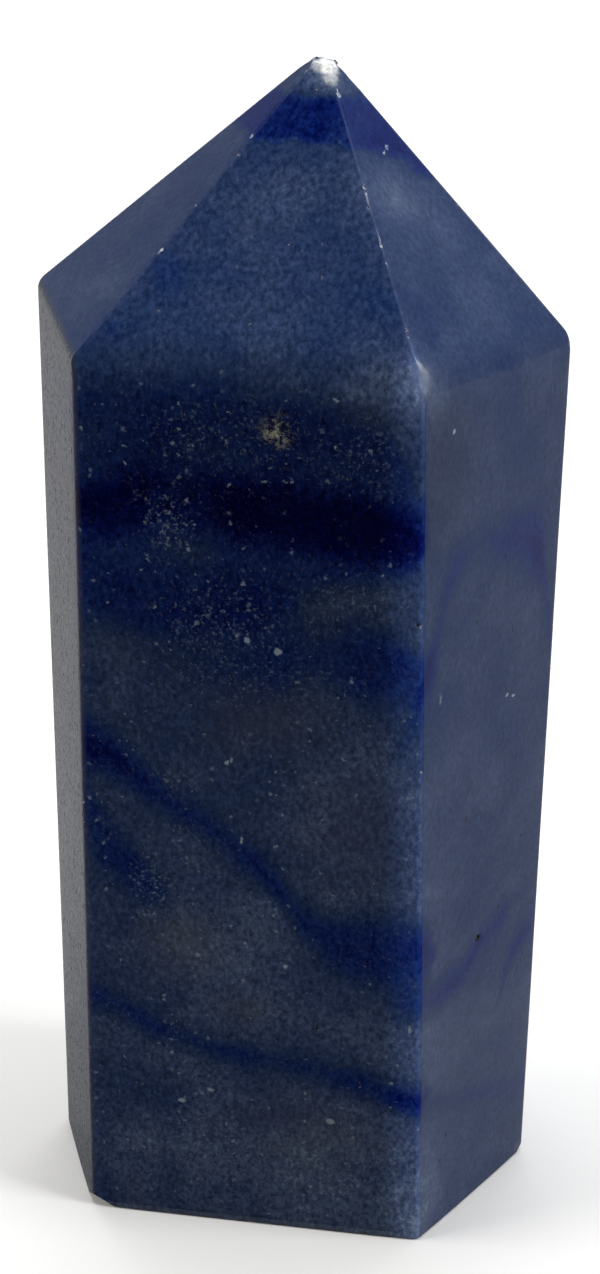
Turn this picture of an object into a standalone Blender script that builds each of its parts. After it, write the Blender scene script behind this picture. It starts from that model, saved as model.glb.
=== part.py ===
"""A polished dumortierite tower: one six-sided stone with a six-facet point, standing on its sawn foot.

Metres, +Z up. The origin is on the ground, under the middle of the stone's bounding box. A heading is the way
that a side faces, in degrees from -Y, the front, towards +X, the right.
"""

from dataclasses import dataclass
from math import cos, radians, sin

import bmesh
import bpy
from mathutils import Matrix, Vector

MM = 0.001

# The tip that the six facets would meet in, in millimetres: its height, and its place over the foot.
TIP_HEIGHT = 90.0
TIP_RIGHT = 1.3
TIP_BACK = 2.3


@dataclass(frozen=True)
class Side:
    """One ground side of the prism, and the edge that it shares with the next side, counterclockwise."""

    name: str
    heading: float  # degrees
    distance: float  # from the axis to the side, at the foot, in millimetres
    lean: float  # degrees; a side that leans back faces a little up
    shoulder: float  # height of the shoulder on the edge with the next side, in millimetres
    edge_round: float  # reach of the rounding on either side of that edge, in millimetres
    shoulder_round: float  # the same between the side and its facet, in millimetres


SIDES = (
    Side("left", heading=-74.3, distance=17.6, lean=0.6, shoulder=72.9, edge_round=0.35, shoulder_round=0.5),
    Side("front", heading=-8.0, distance=10.8, lean=-0.8, shoulder=72.4, edge_round=0.7, shoulder_round=2.4),
    Side("right", heading=50.4, distance=15.5, lean=0.9, shoulder=70.8, edge_round=0.4, shoulder_round=1.8),
    Side("back_right", heading=109.2, distance=17.4, lean=-0.1, shoulder=71.8, edge_round=0.5, shoulder_round=0.8),
    Side("back", heading=169.2, distance=10.9, lean=0.0, shoulder=73.0, edge_round=0.4, shoulder_round=1.2),
    Side("back_left", heading=229.2, distance=15.3, lean=-0.1, shoulder=73.6, edge_round=0.4, shoulder_round=0.7),
)

# Reach of the roundings that don't belong to one side, in millimetres, and of the widest of all.
RIDGE_ROUND = 0.25
FOOT_ROUND = 0.3
WIDEST_ROUND = max(side.shoulder_round for side in SIDES)
ROUND_STEPS = 3


@dataclass(frozen=True)
class Chip:
    """A flat break: all that lies beyond a plane, whose place is counted from a corner of the stone."""

    name: str
    heading: float  # degrees
    rise: float  # degrees that the break faces up, or down where negative
    depth: float  # how far the corner stands beyond the break, in millimetres


TIP_BRUISE = Chip("tip bruise", heading=40.0, rise=78.0, depth=0.75)
FRONT_LEFT_FOOT_CHIP = Chip("front left foot chip", heading=-38.0, rise=-40.0, depth=0.8)
RIGHT_FOOT_CHIP = Chip("right foot chip", heading=80.0, rise=-30.0, depth=0.45)


def facing(heading: float, rise: float) -> Vector:
    """The unit vector that faces a heading and rises above the level, both in degrees."""
    turn, tilt = radians(heading), radians(rise)
    return Vector((sin(turn) * cos(tilt), -cos(turn) * cos(tilt), sin(tilt)))


def edge_point(first: Side, second: Side, height: float) -> Vector:
    """The point at a height on the edge where two sides meet, in millimetres."""
    rows = []
    reach = []
    for side in (first, second):
        normal = facing(side.heading, side.lean)
        rows.append(normal)
        reach.append(normal.dot(facing(side.heading, 0.0) * side.distance))
    rows.append(Vector((0.0, 0.0, 1.0)))
    reach.append(height)
    return Matrix(rows).inverted() @ Vector(reach)


def cut(stone: bmesh.types.BMesh, corner: Vector, chip: Chip) -> None:
    """Breaks a chip off a corner and closes the stone with a flat face."""
    normal = facing(chip.heading, chip.rise)
    everything = stone.verts[:] + stone.edges[:] + stone.faces[:]
    result = bmesh.ops.bisect_plane(
        stone, geom=everything, plane_co=corner - normal * chip.depth, plane_no=normal, clear_outer=True
    )
    rim = [item for item in result["geom_cut"] if isinstance(item, bmesh.types.BMEdge)]
    bmesh.ops.contextual_create(stone, geom=rim)


def crystal(stone: bmesh.types.BMesh) -> None:
    """Builds the sharp prism with its point, and weights each edge by how widely it is rounded."""
    count = len(SIDES)
    pairs = [(side, SIDES[(i + 1) % count]) for i, side in enumerate(SIDES)]
    foot = [stone.verts.new(edge_point(a, b, 0.0)) for a, b in pairs]
    shoulder = [stone.verts.new(edge_point(a, b, a.shoulder)) for a, b in pairs]
    tip = stone.verts.new((TIP_RIGHT, TIP_BACK, TIP_HEIGHT))
    stone.faces.new(reversed(foot))
    for i, side in enumerate(SIDES):
        before = (i - 1) % count
        stone.faces.new((foot[before], foot[i], shoulder[i], shoulder[before]))
        stone.faces.new((shoulder[before], shoulder[i], tip))
    weight = stone.edges.layers.float.new("bevel_weight_edge")
    for i, side in enumerate(SIDES):
        before = (i - 1) % count
        stone.edges.get((foot[i], shoulder[i]))[weight] = side.edge_round / WIDEST_ROUND
        stone.edges.get((shoulder[before], shoulder[i]))[weight] = side.shoulder_round / WIDEST_ROUND
        stone.edges.get((shoulder[i], tip))[weight] = RIDGE_ROUND / WIDEST_ROUND
        stone.edges.get((foot[before], foot[i]))[weight] = FOOT_ROUND / WIDEST_ROUND
    cut(stone, tip.co.copy(), TIP_BRUISE)
    cut(stone, edge_point(SIDES[0], SIDES[1], 0.0), FRONT_LEFT_FOOT_CHIP)
    cut(stone, edge_point(SIDES[2], SIDES[3], 0.0), RIGHT_FOOT_CHIP)


def round_edges(tower: bpy.types.Object) -> None:
    """Rounds each edge by its weight."""
    bevel = tower.modifiers.new("rounded edges", "BEVEL")
    bevel.offset_type = "OFFSET"
    bevel.width = WIDEST_ROUND * MM
    bevel.limit_method = "WEIGHT"
    bevel.segments = ROUND_STEPS
    bevel.profile = 0.5
    bevel.use_clamp_overlap = True


def stand(tower: bpy.types.Object) -> None:
    """Moves the mesh so that the rounded stone stands on the ground with its box centred over the origin."""
    box = tower.evaluated_get(bpy.context.evaluated_depsgraph_get()).bound_box
    low = Vector([min(corner[axis] for corner in box) for axis in range(3)])
    high = Vector([max(corner[axis] for corner in box) for axis in range(3)])
    middle = (low + high) / 2
    tower.data.transform(Matrix.Translation((-middle.x, -middle.y, -low.z)))


def polished_stone() -> bpy.types.Material:
    """Deep blue quartz with a satin polish."""
    material = bpy.data.materials.new("dumortierite_quartz_polished")
    material.use_nodes = True
    shader = material.node_tree.nodes["Principled BSDF"]
    shader.inputs["Base Color"].default_value = (0.018, 0.030, 0.098, 1.0)
    shader.inputs["Roughness"].default_value = 0.28
    shader.inputs["Metallic"].default_value = 0.0
    return material


def main() -> None:
    """Clears the scene and builds the tower."""
    for leftover in list(bpy.data.objects):
        bpy.data.objects.remove(leftover)
    stone = bmesh.new()
    crystal(stone)
    bmesh.ops.scale(stone, vec=(MM, MM, MM), verts=stone.verts)
    bmesh.ops.recalc_face_normals(stone, faces=stone.faces)
    mesh = bpy.data.meshes.new("tower")
    stone.to_mesh(mesh)
    stone.free()
    mesh.materials.append(polished_stone())
    mesh.shade_smooth()
    mesh.set_sharp_from_angle(angle=radians(30.0))
    tower = bpy.data.objects.new("tower", mesh)
    bpy.context.scene.collection.objects.link(tower)
    round_edges(tower)
    stand(tower)


main()
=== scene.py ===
"""The look of a polished dumortierite tower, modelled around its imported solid.

The stone is ground from a block by the same flats as the solid, in millimetres: six sides, six point facets, a
sawn foot and a crushed tip. Its edges are then rounded, crowned and chipped as lapping and handling leave them,
and it is dressed in a procedural dumortierite quartz. A heading is the way that a flat faces, in degrees from
-Y, the front, towards +X, the right.
"""

import logging
import math
import random
from collections.abc import Iterable, Mapping, Sequence
from dataclasses import dataclass, field
from enum import Enum
from functools import partial, reduce

import bmesh
import bpy
from mathutils import Matrix, Vector


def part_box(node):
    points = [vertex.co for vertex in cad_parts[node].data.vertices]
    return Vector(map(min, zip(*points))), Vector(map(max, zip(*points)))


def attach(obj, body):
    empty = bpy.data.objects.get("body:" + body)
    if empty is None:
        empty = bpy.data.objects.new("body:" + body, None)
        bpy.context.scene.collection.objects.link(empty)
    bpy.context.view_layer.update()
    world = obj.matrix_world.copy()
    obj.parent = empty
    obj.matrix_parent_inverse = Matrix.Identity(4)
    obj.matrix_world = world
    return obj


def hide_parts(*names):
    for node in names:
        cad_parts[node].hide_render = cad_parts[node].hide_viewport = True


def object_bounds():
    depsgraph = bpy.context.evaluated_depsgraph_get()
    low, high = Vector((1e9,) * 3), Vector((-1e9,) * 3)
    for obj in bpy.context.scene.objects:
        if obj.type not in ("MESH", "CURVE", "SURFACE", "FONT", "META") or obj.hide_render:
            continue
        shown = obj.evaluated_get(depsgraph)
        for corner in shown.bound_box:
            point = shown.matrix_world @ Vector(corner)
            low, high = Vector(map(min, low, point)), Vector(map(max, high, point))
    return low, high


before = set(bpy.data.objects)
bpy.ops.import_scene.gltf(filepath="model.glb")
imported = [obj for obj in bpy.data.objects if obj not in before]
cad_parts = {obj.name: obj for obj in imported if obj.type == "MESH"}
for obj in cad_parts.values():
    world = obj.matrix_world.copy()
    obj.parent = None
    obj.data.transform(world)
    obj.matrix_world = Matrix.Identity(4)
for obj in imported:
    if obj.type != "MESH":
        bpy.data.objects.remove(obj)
CAD_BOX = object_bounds()

MM = 0.001
NODE = "tower"
BODY = "root"
BRUISE = "bruise"
BROAD = "broad"
LOG = logging.getLogger("tower")


# Helpers


def linear(code: str) -> tuple[float, float, float, float]:
    """Turns an sRGB hex code into a linear colour.

    Args:
        code: Six hex digits after a hash.

    Returns:
        Red, green, blue and an alpha of one.
    """
    digits = code.lstrip("#")
    shares = [int(digits[i : i + 2], 16) / 255 for i in (0, 2, 4)]
    bent = [s / 12.92 if s <= 0.04045 else ((s + 0.055) / 1.055) ** 2.4 for s in shares]
    return (bent[0], bent[1], bent[2], 1.0)


def facing(heading: float, rise: float) -> Vector:
    """Gives a direction.

    Args:
        heading: Degrees from the front towards the right.
        rise: Degrees above the level.

    Returns:
        The unit vector.
    """
    turn, tilt = math.radians(heading), math.radians(rise)
    return Vector((math.sin(turn) * math.cos(tilt), -math.cos(turn) * math.cos(tilt), math.sin(tilt)))


def distance_to(point: Vector, first: Vector, second: Vector) -> float:
    """Measures how far a point is from a stretch of line.

    Args:
        point: The point.
        first: One end of the stretch.
        second: Its other end.

    Returns:
        The shortest distance.
    """
    along = second - first
    share = max(0.0, min(1.0, (point - first).dot(along) / along.length_squared))
    return (point - first - along * share).length


def falloff(distance: float, near: float, far: float) -> float:
    """Gives one nearer than a distance, zero beyond another, and a smooth fall between them."""
    share = max(0.0, min(1.0, (far - distance) / (far - near)))
    return share * share * (3 - 2 * share)


def only(piece: bpy.types.Object) -> None:
    """Makes one object the only selected one, and the active one."""
    bpy.ops.object.select_all(action="DESELECT")
    piece.select_set(True)
    bpy.context.view_layer.objects.active = piece


def apply_all(piece: bpy.types.Object) -> None:
    """Applies every modifier of an object, in order."""
    only(piece)
    for modifier in list(piece.modifiers):
        bpy.ops.object.modifier_apply(modifier=modifier.name)


def add_node(
    tree: bpy.types.NodeTree,
    kind: str,
    inputs: Mapping[str | int, object] | Sequence[object] = (),
    **settings: object,
) -> bpy.types.Node:
    """Adds a shader node, sets it and links it.

    Args:
        tree: The node tree.
        kind: The node's type, without its ShaderNode prefix.
        inputs: Values by socket name or number, or in the order of the sockets. A node feeds its first output
            in use, and a socket feeds itself.
        **settings: The node's own properties.

    Returns:
        The node.
    """
    made = tree.nodes.new("ShaderNode" + kind)
    for name, value in settings.items():
        setattr(made, name, value)
    pairs = inputs.items() if isinstance(inputs, Mapping) else enumerate(inputs)
    for name, value in pairs:
        if isinstance(name, str):
            socket = next(one for one in made.inputs if one.enabled and one.name == name)
        else:
            socket = made.inputs[name]
        if isinstance(value, bpy.types.Node):
            value = next(one for one in value.outputs if one.enabled)
        if isinstance(value, bpy.types.NodeSocket):
            tree.links.new(value, socket)
        else:
            socket.default_value = value
    return made


# The stone's form


class Flat(Enum):
    """What made a flat of the stone, or an edge of it."""

    SIDE = "ground side, or a standing edge"
    FACET = "point facet, or a ridge of the point"
    SHOULDER = "edge between a side and its facet"
    FOOT = "sawn foot, or an edge of it"
    BREAK = "flat break"


@dataclass(frozen=True)
class Side:
    """One ground side of the prism, and the edge that it shares with the next side, counterclockwise."""

    name: str
    heading: float  # degrees
    distance: float  # mm from the axis, at the foot
    lean: float  # degrees; a side that leans back faces a little up
    shoulder: float  # mm, height of the shoulder on the edge with the next side
    edge_round: float  # mm, reach of the rounding on either side of that edge
    shoulder_round: float  # mm, the same between the side and its facet


@dataclass(frozen=True)
class Plane:
    """A plane that the block is cut to, in millimetres."""

    kind: Flat
    number: int
    point: Vector
    normal: Vector


@dataclass(frozen=True)
class Break:
    """A flat break: all that lies beyond a plane, whose place is counted from a corner."""

    heading: float  # degrees
    rise: float  # degrees
    depth: float  # mm that the corner stands beyond the break


@dataclass(frozen=True)
class EdgeChip:
    """A shallow flake broken out of an edge."""

    edge: Flat
    number: int  # which side's edge
    along: float  # 0 at the edge's lower or first end, 1 at its other end
    length: float  # mm along the edge
    depth: float  # mm
    tilt: float = 0.0  # degrees that the flake is turned around the edge


@dataclass
class Tower:
    """The stone, from the block to its last chip."""

    sides: tuple[Side, ...] = (
        Side("left", -74.3, 17.6, 0.6, 72.9, 0.35, 0.5),
        Side("front", -8.0, 10.8, -0.8, 72.4, 0.4, 2.4),
        Side("right", 50.4, 15.5, 0.9, 70.8, 0.4, 1.8),
        Side("back_right", 109.2, 17.4, -0.1, 71.8, 0.5, 0.8),
        Side("back", 169.2, 10.9, 0.0, 73.0, 0.4, 1.2),
        Side("back_left", 229.2, 15.3, -0.1, 73.6, 0.4, 0.7),
    )
    tip: Vector = field(default_factory=lambda: Vector((1.3, 2.3, 90.0)))  # mm, where the facets would meet
    ridge_round: float = 0.22  # mm
    foot_round: float = 0.3  # mm
    round_steps: int = 5
    tip_break: Break = Break(40.0, 78.0, 0.75)
    foot_breaks: tuple[tuple[int, Break], ...] = ((0, Break(-38.0, -40.0, 0.8)), (2, Break(80.0, -30.0, 0.45)))
    block: Vector = field(default_factory=lambda: Vector((60.0, 60.0, 120.0)))  # mm, the rough block
    net: float = 1.5  # mm between the lines that the flats are divided by
    crown_reach: float = 5.0  # mm from an edge that the lap wore a flat down
    crown_depth: float = 0.07  # mm
    wave_length: float = 16.0  # mm between the slow waves of a hand-held lap
    wave_depth: float = 0.05  # mm
    crush_reach: float = 2.2  # mm from the middle of the tip break that is crushed
    crush_grain: float = 0.35  # mm
    crush_depth: float = 0.16  # mm
    pit: Vector = field(default_factory=lambda: Vector((13.7, -7.1, 25.5)))  # mm
    pit_radius: float = 0.2  # mm
    broad_sides: tuple[int, ...] = (1, 4)
    edge_blend: float = 0.06  # mm over which one flat gives way to the next
    bruised_ridge: int = 1
    bruise_reach: float = 0.15  # mm from a ridge that is bruised white
    bruise_from: float = 0.08  # share of the ridge, from its foot, that stays whole
    chip_seed: int = 7
    chips_per_edge: int = 3
    corner_free: float = 0.1  # share of an edge, from its ends, that stays free of chance chips

    def corner(self, number: int, height: float) -> Vector:
        """Finds the point at a height on the edge between a side and the next one.

        Args:
            number: The side.
            height: Millimetres above the foot.

        Returns:
            The point, in millimetres.
        """
        rows: list[Vector] = []
        reach: list[float] = []
        for side in (self.sides[number], self.sides[(number + 1) % len(self.sides)]):
            normal = facing(side.heading, side.lean)
            rows.append(normal)
            reach.append(normal.dot(facing(side.heading, 0.0) * side.distance))
        return Matrix((*rows, (0.0, 0.0, 1.0))).inverted() @ Vector((*reach, height))

    def shoulder(self, number: int) -> Vector:
        """Gives the shoulder corner between a side and the next one, in millimetres."""
        return self.corner(number, self.sides[number].shoulder)

    def planes(self) -> list[Plane]:
        """Lists every flat of the sharp stone.

        Returns:
            The planes, each with its normal facing out.
        """
        found = [Plane(Flat.FOOT, 0, Vector((0.0, 0.0, 0.0)), Vector((0.0, 0.0, -1.0)))]
        for number, side in enumerate(self.sides):
            normal = facing(side.heading, side.lean)
            found.append(Plane(Flat.SIDE, number, facing(side.heading, 0.0) * side.distance, normal))
            first, second = self.shoulder(number - 1), self.shoulder(number)
            found.append(Plane(Flat.FACET, number, self.tip, (second - first).cross(self.tip - first).normalized()))
        breaks = [(self.tip, self.tip_break)]
        breaks += [(self.corner(number, 0.0), broken) for number, broken in self.foot_breaks]
        for number, (corner, broken) in enumerate(breaks):
            normal = facing(broken.heading, broken.rise)
            found.append(Plane(Flat.BREAK, number, corner - normal * broken.depth, normal))
        return found

    def edge(self, kind: Flat, number: int) -> tuple[Vector, Vector]:
        """Gives the two ends of a design edge.

        Args:
            kind: What the edge is.
            number: The side that it belongs to.

        Returns:
            Its ends, in millimetres.
        """
        ends = {
            Flat.SIDE: (self.corner(number, 0.0), self.shoulder(number)),
            Flat.FACET: (self.shoulder(number), self.tip),
            Flat.SHOULDER: (self.shoulder(number - 1), self.shoulder(number)),
            Flat.FOOT: (self.corner(number - 1, 0.0), self.corner(number, 0.0)),
        }
        return ends[kind]

    def edges(self, kind: Flat) -> list[tuple[Vector, Vector]]:
        """Lists the ends of all edges of a kind."""
        return [self.edge(kind, number) for number in range(len(self.sides))]

    def rounding(self, first: Plane, second: Plane) -> float:
        """Says how widely the edge between two flats is rounded, in millimetres."""
        kinds = {first.kind, second.kind}
        if Flat.BREAK in kinds:
            return 0.0
        if Flat.FOOT in kinds:
            return self.foot_round
        if kinds == {Flat.FACET}:
            return self.ridge_round
        if kinds == {Flat.SIDE}:
            low, high = sorted((first.number, second.number))
            return self.sides[high if high - low > 1 else low].edge_round
        return self.sides[first.number].shoulder_round

    def grind(self) -> bpy.types.Object:
        """Cuts the block to the sharp stone.

        Returns:
            The stone, in millimetres.
        """
        bpy.ops.object.select_all(action="DESELECT")
        bpy.ops.mesh.primitive_cube_add(size=1.0, location=(0.0, 0.0, self.block.z / 2 - 1.0), scale=self.block)
        stone = bpy.context.object
        stone.name = stone.data.name = "dumortierite_tower"
        bpy.ops.object.transform_apply(location=True, rotation=True, scale=True)
        bpy.ops.object.mode_set(mode="EDIT")
        for plane in self.planes():
            bpy.ops.mesh.select_all(action="SELECT")
            bpy.ops.mesh.bisect(plane_co=plane.point, plane_no=plane.normal, use_fill=True, clear_outer=True)
        bpy.ops.mesh.select_all(action="SELECT")
        bpy.ops.mesh.remove_doubles(threshold=1e-4)
        bpy.ops.mesh.normals_make_consistent(inside=False)
        bpy.ops.object.mode_set(mode="OBJECT")
        return stone

    def round_edges(self, stone: bpy.types.Object) -> None:
        """Rounds each edge by what meets there."""
        planes = self.planes()
        widest = max(side.shoulder_round for side in self.sides)
        mesh = bmesh.new()
        mesh.from_mesh(stone.data)
        weight = mesh.edges.layers.float.new("bevel_weight_edge")
        owner = {face: max(planes, key=lambda plane: face.normal.dot(plane.normal)) for face in mesh.faces}
        for edge in mesh.edges:
            first, second = (owner[face] for face in edge.link_faces)
            edge[weight] = self.rounding(first, second) / widest
        mesh.to_mesh(stone.data)
        mesh.free()
        bevel = stone.modifiers.new("rounded edges", "BEVEL")
        bevel.width = widest
        bevel.limit_method = "WEIGHT"
        bevel.segments = self.round_steps
        bevel.use_clamp_overlap = True
        apply_all(stone)

    def divide(self, stone: bpy.types.Object) -> None:
        """Divides the flats by a net of lines, so that they can be crowned and waved."""
        only(stone)
        low = [min(vert.co[axis] for vert in stone.data.vertices) for axis in range(3)]
        high = [max(vert.co[axis] for vert in stone.data.vertices) for axis in range(3)]
        bpy.ops.object.mode_set(mode="EDIT")
        for axis in range(3):
            normal = Vector([float(axis == other) for other in range(3)])
            for step in range(1, int((high[axis] - low[axis]) / self.net)):
                bpy.ops.mesh.select_all(action="SELECT")
                bpy.ops.mesh.bisect(plane_co=normal * (low[axis] + step * self.net), plane_no=normal)
        bpy.ops.object.mode_set(mode="OBJECT")

    def crown(self, stone: bpy.types.Object) -> None:
        """Wears the flats down towards their edges, and waves them a little."""
        edges = self.edges(Flat.SIDE) + self.edges(Flat.FACET) + self.edges(Flat.SHOULDER)
        worn = stone.vertex_groups.new(name="worn")
        loose = stone.vertex_groups.new(name="above the foot")
        for vert in stone.data.vertices:
            if vert.co.z < 0.01:
                continue
            near = min(distance_to(vert.co, *ends) for ends in edges)
            worn.add([vert.index], max(0.0, 1.0 - near / self.crown_reach) ** 2, "REPLACE")
            loose.add([vert.index], 1.0, "REPLACE")
        crown = stone.modifiers.new("crown", "DISPLACE")
        crown.vertex_group = worn.name
        crown.mid_level = 0.0
        crown.strength = -self.crown_depth
        texture = bpy.data.textures.new("lap waves", "CLOUDS")
        texture.noise_scale = self.wave_length
        wave = stone.modifiers.new("lap waves", "DISPLACE")
        wave.texture = texture
        wave.texture_coords = "LOCAL"
        wave.vertex_group = loose.name
        wave.mid_level = 0.5
        wave.strength = self.wave_depth
        apply_all(stone)
        stone.vertex_groups.clear()

    def crush_tip(self, stone: bpy.types.Object) -> None:
        """Divides the broken tip finely and breaks its face into grains."""
        only(stone)
        middle = self.tip - facing(self.tip_break.heading, self.tip_break.rise) * self.tip_break.depth
        bpy.ops.object.mode_set(mode="EDIT")
        bpy.ops.mesh.select_all(action="DESELECT")
        bpy.ops.object.mode_set(mode="OBJECT")
        for face in stone.data.polygons:
            face.select = (face.center - middle).length < self.crush_reach
        bpy.ops.object.mode_set(mode="EDIT")
        bpy.ops.mesh.quads_convert_to_tris()
        for _ in range(3):
            bpy.ops.mesh.subdivide(number_cuts=1)
        bpy.ops.object.mode_set(mode="OBJECT")
        grains = stone.vertex_groups.new(name="crushed")
        for vert in stone.data.vertices:
            share = falloff((vert.co - middle).length, 0.4 * self.crush_reach, 0.8 * self.crush_reach)
            if share > 0.0:
                grains.add([vert.index], share, "REPLACE")
        texture = bpy.data.textures.new("crushed grains", "CLOUDS")
        texture.noise_scale = self.crush_grain
        texture.noise_depth = 1
        crush = stone.modifiers.new("crushed grains", "DISPLACE")
        crush.texture = texture
        crush.texture_coords = "LOCAL"
        crush.vertex_group = grains.name
        crush.mid_level = 1.0
        crush.strength = self.crush_depth
        apply_all(stone)
        stone.vertex_groups.clear()

    def chips(self) -> list[EdgeChip]:
        """Lists the chips: those that show in front, and a few on every other edge.

        Returns:
            The chips.
        """
        found = [
            EdgeChip(Flat.FACET, 1, 0.585, 0.42, 0.07, 20.0),
            EdgeChip(Flat.FACET, 1, 0.413, 0.26, 0.05, -15.0),
            EdgeChip(Flat.FACET, 1, 0.364, 0.24, 0.05, 10.0),
            EdgeChip(Flat.FOOT, 1, 0.17, 0.5, 0.10, 20.0),
            EdgeChip(Flat.FOOT, 1, 0.40, 0.4, 0.08, 15.0),
            EdgeChip(Flat.FOOT, 1, 0.62, 0.5, 0.09, 20.0),
        ]
        chance = random.Random(self.chip_seed)
        for edge in (Flat.SIDE, Flat.FACET, Flat.FOOT):
            for number in range(len(self.sides)):
                for _ in range(self.chips_per_edge):
                    length = chance.uniform(0.2, 0.45)
                    along, tilt = chance.uniform(self.corner_free, 1 - self.corner_free), chance.uniform(-25.0, 25.0)
                    found.append(EdgeChip(edge, number, along, length, length * 0.16, tilt))
        return found

    def flake(self, stone: bpy.types.Object, chip: EdgeChip, number: int) -> bpy.types.Object:
        """Makes what a chip takes away.

        Args:
            stone: The stone.
            chip: The chip.
            number: Its number, which turns it.

        Returns:
            A long rounded body that reaches into the edge.
        """
        first, second = self.edge(chip.edge, chip.number)
        along = (second - first).normalized()
        _, surface, _, _ = stone.closest_point_on_mesh(first.lerp(second, chip.along))
        out = Vector((surface.x, surface.y, 0.0)).normalized()
        if chip.edge is Flat.FACET:
            out.z = 1.0
        if chip.edge is Flat.FOOT:
            out.z = -0.7
        out = (out - along * out.dot(along)).normalized()
        out = Matrix.Rotation(math.radians(chip.tilt), 3, along) @ out
        across = out.cross(along)
        radius = chip.length**2 / (8 * chip.depth) + chip.depth / 2
        bpy.ops.object.select_all(action="DESELECT")
        bpy.ops.mesh.primitive_ico_sphere_add(subdivisions=3, radius=radius)
        flake = bpy.context.object
        spin = Matrix.Rotation(2.4 * number, 4, "X")
        turn = Matrix((along, across, out)).transposed().to_4x4()
        squash = Matrix.Diagonal((1.0, 0.6, 1.0, 1.0))
        flake.matrix_world = Matrix.Translation(surface + out * (radius - chip.depth)) @ turn @ squash @ spin
        bpy.ops.object.transform_apply(location=True, rotation=True, scale=True)
        return flake

    def chip(self, stone: bpy.types.Object, fracture: bpy.types.Material) -> None:
        """Breaks the chips out of the edges.

        Args:
            stone: The stone, in millimetres.
            fracture: What the broken faces are dressed in.
        """
        flakes = [self.flake(stone, chip, number) for number, chip in enumerate(self.chips())]
        bpy.ops.object.select_all(action="DESELECT")
        for flake in flakes:
            flake.select_set(True)
        bpy.context.view_layer.objects.active = flakes[0]
        bpy.ops.object.join()
        cutter = bpy.context.object
        texture = bpy.data.textures.new("flake ripples", "CLOUDS")
        texture.noise_scale = 0.25
        ripple = cutter.modifiers.new("flake ripples", "DISPLACE")
        ripple.texture = texture
        ripple.texture_coords = "LOCAL"
        ripple.mid_level = 0.5
        ripple.strength = 0.12
        apply_all(cutter)
        cutter.data.materials.append(fracture)
        self.bite(stone, cutter)

    def bite(self, stone: bpy.types.Object, cutter: bpy.types.Object) -> None:
        """Takes a body away from the stone; the new faces keep the body's material."""
        bite = stone.modifiers.new("bite", "BOOLEAN")
        bite.operation = "DIFFERENCE"
        bite.solver = "EXACT"
        bite.use_self = True
        bite.object = cutter
        bite.material_mode = "TRANSFER"
        apply_all(stone)
        bpy.data.objects.remove(cutter)

    def hollow(self, stone: bpy.types.Object) -> None:
        """Opens the one deep pit, in the right side."""
        _, surface, _, _ = stone.closest_point_on_mesh(self.pit)
        bpy.ops.object.select_all(action="DESELECT")
        bpy.ops.mesh.primitive_ico_sphere_add(subdivisions=3, radius=self.pit_radius, location=surface)
        ball = bpy.context.object
        bpy.ops.object.transform_apply(location=True, rotation=True, scale=True)
        ball.data.materials.append(stone.data.materials[0])
        self.bite(stone, ball)

    def broadness(self, point: Vector) -> float:
        """Says how much a point lies on the broad sides and their facets, front and back.

        Args:
            point: The point, in millimetres.

        Returns:
            One on a broad flat, zero on a narrow one, and between them across a rounded edge.
        """
        whole = broad = 0.0
        for plane in self.planes():
            if plane.kind in (Flat.SIDE, Flat.FACET):
                share = math.exp((point - plane.point).dot(plane.normal) / self.edge_blend)
                whole += share
                broad += share if plane.number in self.broad_sides else 0.0
        return broad / whole

    def mark(self, stone: bpy.types.Object) -> None:
        """Writes where a ridge is bruised, and which flats are broad."""
        bruise, broad = (stone.data.attributes.new(name, "FLOAT", "POINT").data for name in (BRUISE, BROAD))
        low, high = self.edge(Flat.FACET, self.bruised_ridge)
        low = low.lerp(high, self.bruise_from)
        for vert in stone.data.vertices:
            bruise[vert.index].value = falloff(distance_to(vert.co, low, high), 0.0, self.bruise_reach)
            broad[vert.index].value = self.broadness(vert.co)

    def place(self, stone: bpy.types.Object) -> Vector:
        """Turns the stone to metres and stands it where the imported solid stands.

        Args:
            stone: The stone, in millimetres.

        Returns:
            How far it was moved, in metres.
        """
        only(stone)
        corners = [Vector(corner) * MM for corner in stone.bound_box]
        low = Vector([min(corner[axis] for corner in corners) for axis in range(3)])
        high = Vector([max(corner[axis] for corner in corners) for axis in range(3)])
        cad_low, cad_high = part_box(NODE)
        move = (cad_low + cad_high - low - high) / 2
        move.z = cad_low.z - low.z
        stone.scale = (MM, MM, MM)
        stone.location = move
        bpy.ops.object.transform_apply(location=True, rotation=True, scale=True)
        return move

    def build(self, polish: bpy.types.Material, fracture: bpy.types.Material) -> tuple[bpy.types.Object, Vector]:
        """Makes the stone.

        Args:
            polish: The finish of its ground faces.
            fracture: The finish of its chips.

        Returns:
            The stone, and how far it was moved to stand where the solid stands, in metres.
        """
        stone = self.grind()
        stone.data.materials.append(polish)
        self.round_edges(stone)
        self.divide(stone)
        self.crown(stone)
        self.crush_tip(stone)
        self.chip(stone, fracture)
        self.hollow(stone)
        self.mark(stone)
        move = self.place(stone)
        only(stone)
        bpy.ops.object.shade_smooth_by_angle(angle=math.radians(32.0))
        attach(stone, BODY)
        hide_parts(NODE)
        return stone, move


# The finishes


@dataclass(frozen=True)
class Vein:
    """A sheet of crowded needles, drawn along a side and running straight into the stone, in millimetres."""

    route: tuple[tuple[float, float, float], ...]  # place along the side, height and half thickness
    strength: float = 0.5  # share of quartz that it takes away
    soft: float = 0.9  # mm over which it fades
    heading: float = -8.0  # degrees, of the side that it is drawn along
    inner: float = -50.0  # mm from the axis, towards that side, where it ends


@dataclass(frozen=True)
class Spot:
    """A soft spot, in millimetres."""

    place: tuple[float, float, float]
    reach: tuple[float, float, float]  # half its size along x, y and z
    change: float = 1.0  # what it adds, or how much of it shows


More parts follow.
